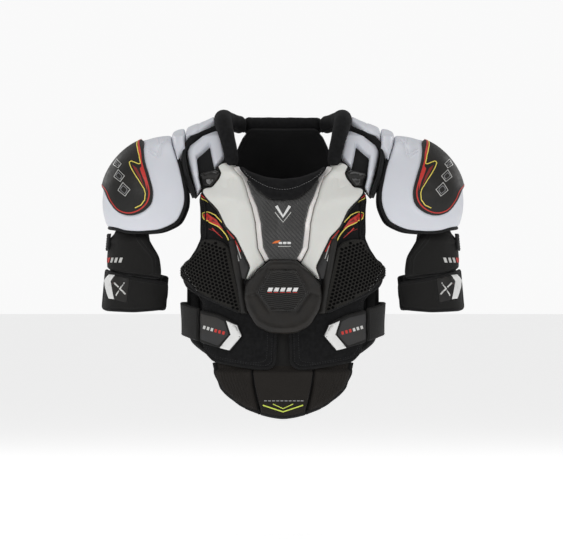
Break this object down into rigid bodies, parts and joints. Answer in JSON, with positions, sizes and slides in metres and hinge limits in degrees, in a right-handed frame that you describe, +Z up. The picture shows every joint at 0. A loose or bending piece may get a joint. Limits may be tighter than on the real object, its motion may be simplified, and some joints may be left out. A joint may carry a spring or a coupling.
{
  "type": "ice hockey shoulder pads",
  "caption": "Adult ice hockey shoulder pads: foam vest with moulded chest, spine and collar plates, white shoulder caps, belly pad and strapped biceps guards.",
  "frame": {"origin": "midway between the wearer's shoulders, at the height of the shoulder line", "axes": "+Z up, the wearer faces -Y, +X to the wearer's left"},
  "size_m": [0.5892, 0.2861, 0.488],
  "materials": {
    "cap_white": "satin moulded skin over foam, cool white",
    "sternum_white": "satin moulded skin, warm white",
    "black_plastic": "satin black moulding",
    "carbon": "dark carbon twill under clear coat",
    "vest_foam": "black smooth knit laminated on foam",
    "knit": "black open knit",
    "liner": "dark grey brushed lining",
    "binding": "black woven binding tape",
    "elastic": "black ribbed elastic webbing"
  },
  "bodies": {
    "back": {"back_panel": "knit", "back_liner": "liner", "spine_plate_upper": "cap_white", "spine_plate_middle": "cap_white", "spine_plate_lower": "cap_white", "lumbar_pad": "vest_foam", "hang_loop": "elastic", "collar_back": "vest_foam", "scapula_plate_left": "black_plastic", "scapula_plate_right": "black_plastic", "collar_roll_left": "vest_foam", "collar_roll_right": "vest_foam", "shoulder_arch_left": "vest_foam", "shoulder_arch_right": "vest_foam", "clavicle_plate_left": "cap_white", "clavicle_plate_right": "cap_white", "clavicle_strap_left": "elastic", "clavicle_strap_right": "elastic", "arch_segment_inner_left": "cap_white", "arch_segment_inner_right": "cap_white", "waist_elastic_left": "elastic", "waist_elastic_right": "elastic"},
    "front": {"front_liner": "liner", "sternum_panel": "carbon", "neckline_pad": "vest_foam", "sternum_cap": "black_plastic", "sternum_insert": "black_plastic", "belly_tongue": "knit", "chest_panel_left": "vest_foam", "chest_panel_right": "vest_foam", "mesh_panel_left": "knit", "mesh_panel_right": "knit", "sternum_arm_left": "sternum_white", "sternum_arm_right": "sternum_white", "strap_clip_left": "black_plastic", "strap_clip_right": "black_plastic"},
    "belly": {"belly_centre": "vest_foam", "belly_wing_left": "knit", "belly_wing_right": "knit"},
    "waist_tab_left": {"waist_tab_left": "elastic"},
    "arch_outer_left": {"arch_segment_outer_left": "cap_white"},
    "cap_left": {"cap_shell_left": "cap_white", "cap_liner_left": "liner", "cap_insert_left": "black_plastic", "cap_binding_left": "binding"},
    "biceps_left": {"biceps_pad_left": "vest_foam", "biceps_cuff_left": "knit", "cap_link_strap_left": "elastic"},
    "biceps_strap_left": {"biceps_strap_left": "elastic"},
    "waist_tab_right": {"waist_tab_right": "elastic"},
    "arch_outer_right": {"arch_segment_outer_right": "cap_white"},
    "cap_right": {"cap_shell_right": "cap_white", "cap_liner_right": "liner", "cap_insert_right": "black_plastic", "cap_binding_right": "binding"},
    "biceps_right": {"biceps_pad_right": "vest_foam", "biceps_cuff_right": "knit", "cap_link_strap_right": "elastic"},
    "biceps_strap_right": {"biceps_strap_right": "elastic"}
  },
  "joints": [
    {"name": "front_swing", "type": "hinge", "parent": "back", "child": "front", "pos_m": [0, -0.085, -0.012], "axis": [-1, 0, 0], "range_deg": [0, 8], "stiffness_Nm_per_rad": 2},
    {"name": "belly_flex", "type": "hinge", "parent": "front", "child": "belly", "pos_m": [0, -0.105, -0.3475], "axis": [-1, 0, 0], "range_deg": [-8, 24], "stiffness_Nm_per_rad": 0.4},
    {"name": "waist_tab_open_left", "type": "hinge", "parent": "front", "child": "waist_tab_left", "pos_m": [0.134, -0.084, -0.286], "axis": [0, 0, 1], "range_deg": [0, 110]},
    {"name": "arch_flex_left", "type": "hinge", "parent": "back", "child": "arch_outer_left", "pos_m": [0.157, 0, 0.0385], "axis": [0, -1, 0], "range_deg": [0, 12]},
    {"name": "cap_lift_left", "type": "hinge", "parent": "arch_outer_left", "child": "cap_left", "pos_m": [0.179, 0, 0.031], "axis": [0, -1, 0], "range_deg": [0, 60]},
    {"name": "biceps_swing_left", "type": "hinge", "parent": "cap_left", "child": "biceps_left", "pos_m": [0.225, 0.0014, -0.09], "axis": [-1, 0, 0], "range_deg": [-15, 15]},
    {"name": "biceps_strap_open_left", "type": "hinge", "parent": "biceps_left", "child": "biceps_strap_left", "pos_m": [0.189, -0.026, -0.226], "axis": [0, 0, -1], "range_deg": [0, 70]},
    {"name": "waist_tab_open_right", "type": "hinge", "parent": "front", "child": "waist_tab_right", "pos_m": [-0.134, -0.084, -0.286], "axis": [0, 0, -1], "range_deg": [0, 110]},
    {"name": "arch_flex_right", "type": "hinge", "parent": "back", "child": "arch_outer_right", "pos_m": [-0.157, 0, 0.0385], "axis": [0, 1, 0], "range_deg": [0, 12]},
    {"name": "cap_lift_right", "type": "hinge", "parent": "arch_outer_right", "child": "cap_right", "pos_m": [-0.179, 0, 0.031], "axis": [0, 1, 0], "range_deg": [0, 60]},
    {"name": "biceps_swing_right", "type": "hinge", "parent": "cap_right", "child": "biceps_right", "pos_m": [-0.225, 0.0014, -0.09], "axis": [-1, 0, 0], "range_deg": [-15, 15]},
    {"name": "biceps_strap_open_right", "type": "hinge", "parent": "biceps_right", "child": "biceps_strap_right", "pos_m": [-0.189, -0.026, -0.226], "axis": [0, 0, 1], "range_deg": [0, 70]}
  ],
  "couplings": [
    {"joint": "arch_flex_left", "follows": "cap_lift_left", "ratio": 0.2},
    {"joint": "arch_flex_right", "follows": "cap_lift_right", "ratio": 0.2}
  ]
}
